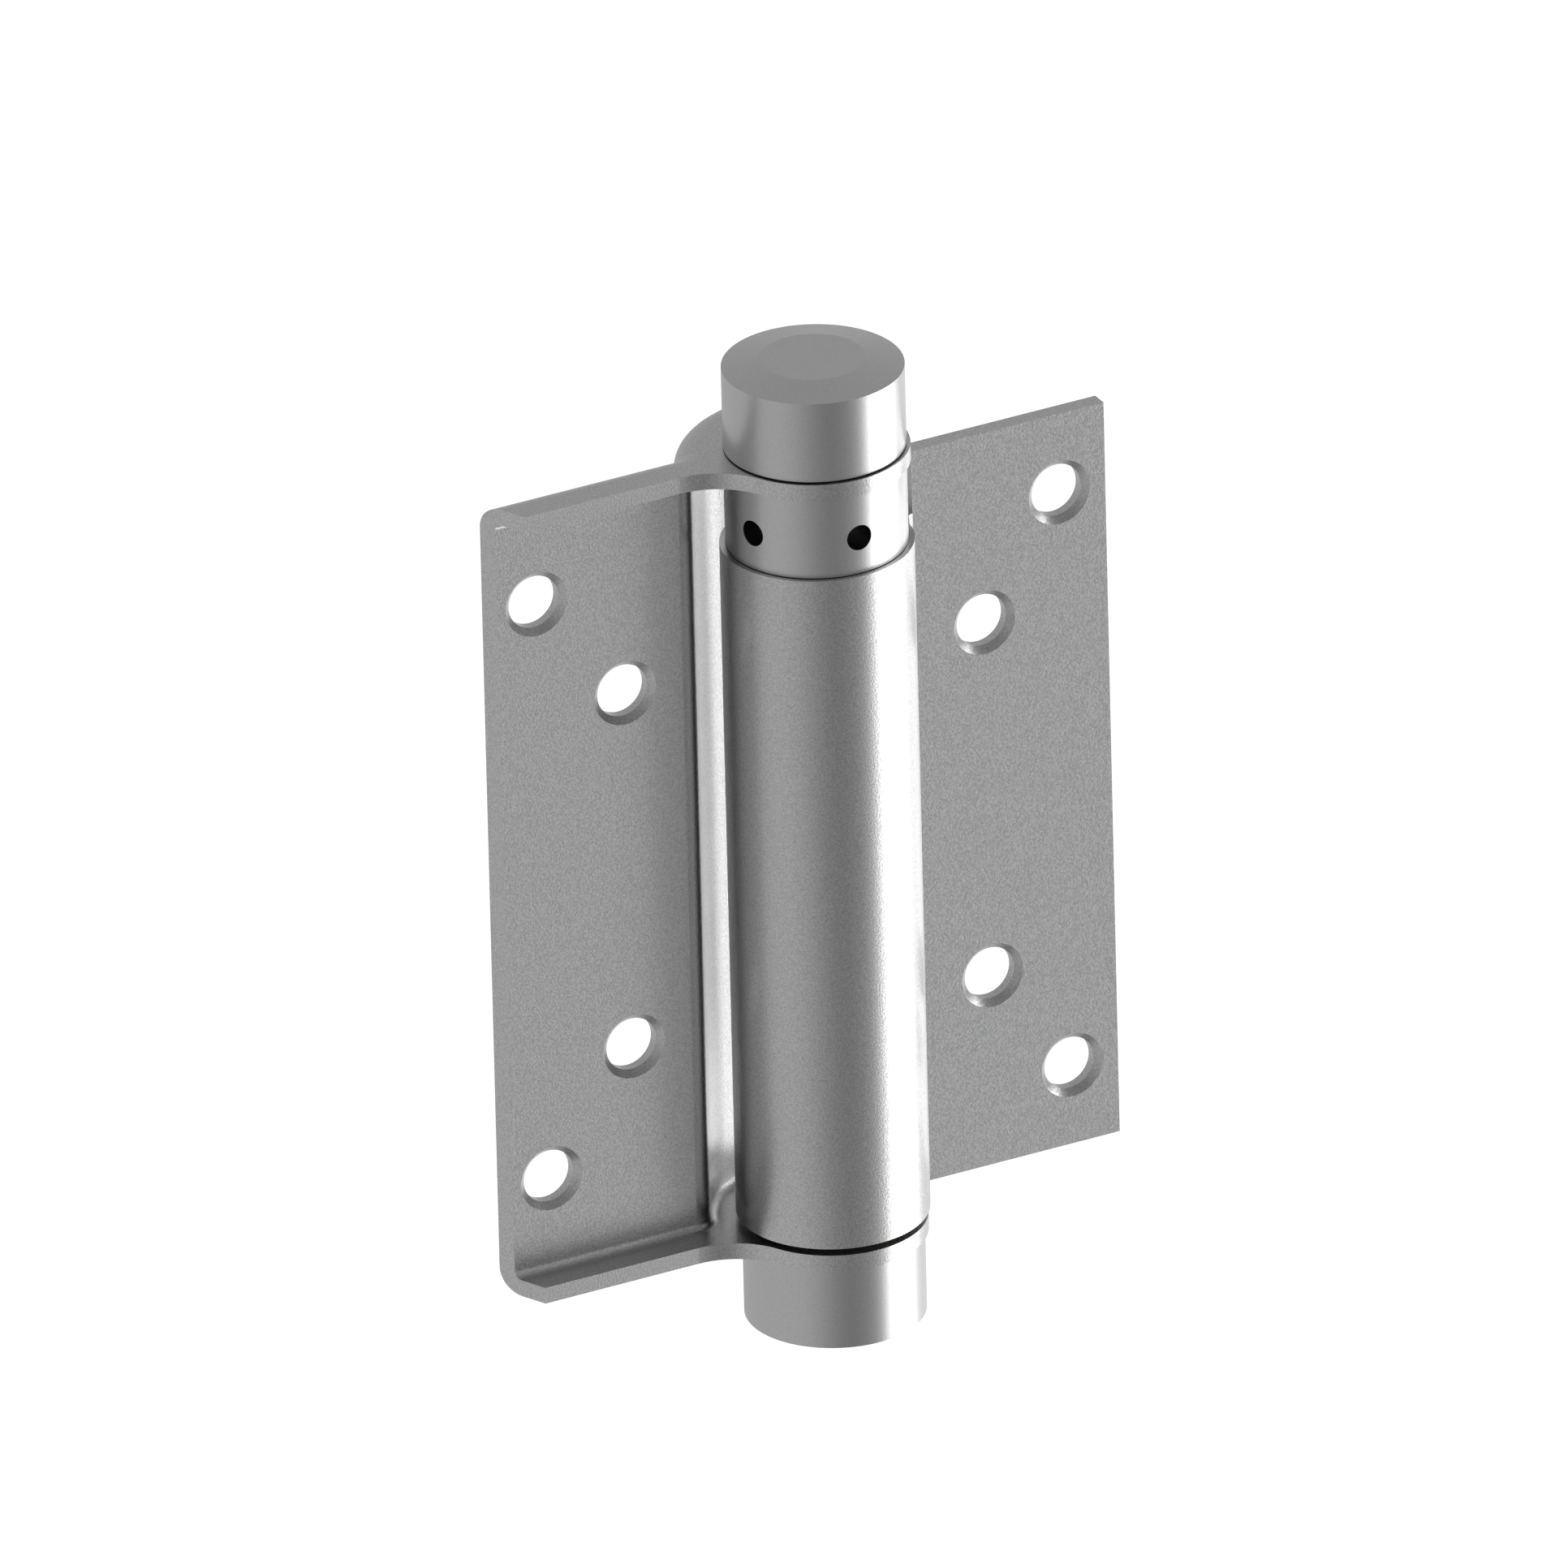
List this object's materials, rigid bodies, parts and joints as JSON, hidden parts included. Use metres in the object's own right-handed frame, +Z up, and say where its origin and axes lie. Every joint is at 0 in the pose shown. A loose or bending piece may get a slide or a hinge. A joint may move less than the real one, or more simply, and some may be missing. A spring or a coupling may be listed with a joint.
{
  "type": "spring hinge",
  "caption": "Door hinge that closes by a spring: a flat leaf rolled into a barrel, a pan-shaped leaf with ears, end caps and a winding collar with radial bar holes.",
  "frame": {"origin": "on the hinge axis, half-way up the leaves", "axes": "+Z up the hinge axis towards the winding collar, +X from the axis towards the leaf with the barrel, -Y the way the countersunk faces look"},
  "size_m": [0.1034, 0.0367, 0.164],
  "materials": {
    "satin_steel": "satin pressed sheet",
    "turned_steel": "satin, turned",
    "bright_steel": "bright drawn bar",
    "spring_steel": "oiled dark wire",
    "bearing_bronze": "oil-filled sintered bronze",
    "dark_acetal": "plain moulded acetal"
  },
  "bodies": {
    "frame_leaf": {"barrel_leaf": "satin_steel", "upper_barrel_bush": "bearing_bronze", "lower_barrel_bush": "bearing_bronze"},
    "door_leaf": {"channel_leaf": "satin_steel", "spindle": "bright_steel", "anchor_plug": "bright_steel", "anchor_pin": "bright_steel", "torsion_spring": "spring_steel", "lower_thrust_washer": "dark_acetal", "upper_lock_washer": "spring_steel", "lower_lock_washer": "spring_steel", "upper_nut": "bright_steel", "lower_nut": "bright_steel", "upper_cap": "turned_steel", "lower_cap": "turned_steel"},
    "collar": {"tension_collar": "turned_steel", "collar_bush": "bearing_bronze", "upper_thrust_washer": "dark_acetal"}
  },
  "joints": [
    {"name": "leaf_swing", "type": "hinge", "parent": "frame_leaf", "child": "door_leaf", "pos_m": [0, 0, 0], "axis": [0, 0, 1], "range_deg": [0, 180]},
    {"name": "collar_turn", "type": "hinge", "parent": "door_leaf", "child": "collar", "pos_m": [0, 0, 0], "axis": [0, 0, 1], "range_deg": [0, 216], "stiffness_Nm_per_rad": 1.26, "deforming": ["torsion_spring"]}
  ]
}
